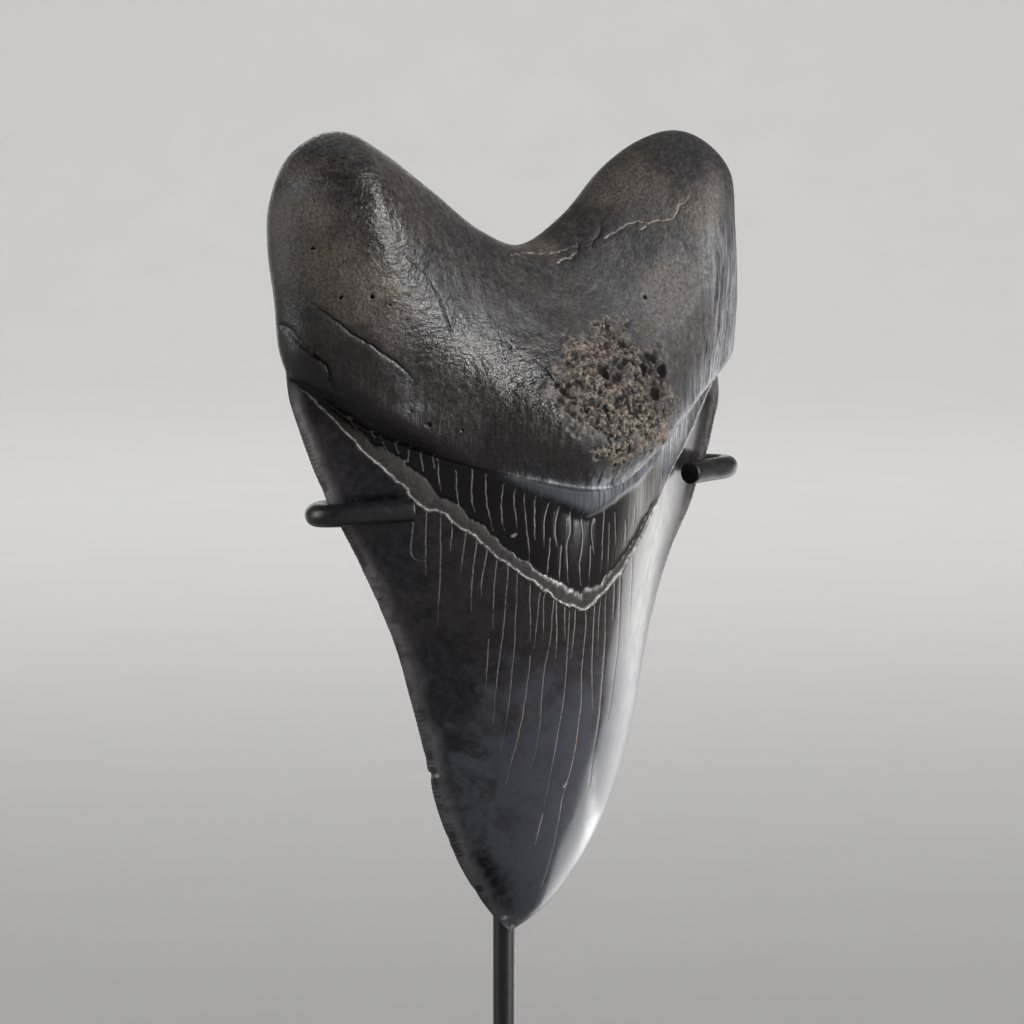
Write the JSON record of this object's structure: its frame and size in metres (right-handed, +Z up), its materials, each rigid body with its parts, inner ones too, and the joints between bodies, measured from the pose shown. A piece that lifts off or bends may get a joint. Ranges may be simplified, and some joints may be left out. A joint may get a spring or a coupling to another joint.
{
  "type": "fossil shark tooth on a display stand",
  "caption": "Large fossil shark tooth standing root up, gripped at both cutting edges by the bent wire prongs of a slim black metal stand.",
  "frame": {"origin": "centre of the base plate's underside, on the table", "axes": "+Z up, +X to the right as seen from the tooth's rounded face, -Y the way that face looks"},
  "size_m": [0.11, 0.08, 0.1958],
  "materials": {
    "tooth": "mineralised tooth: glossy black-grey enamel, satin brown-black root",
    "base": "satin black",
    "rod": "satin black"
  },
  "bodies": {
    "root": {"tooth": "tooth", "base": "base", "post": "rod", "prong_left": "rod", "prong_right": "rod"}
  },
  "joints": []
}
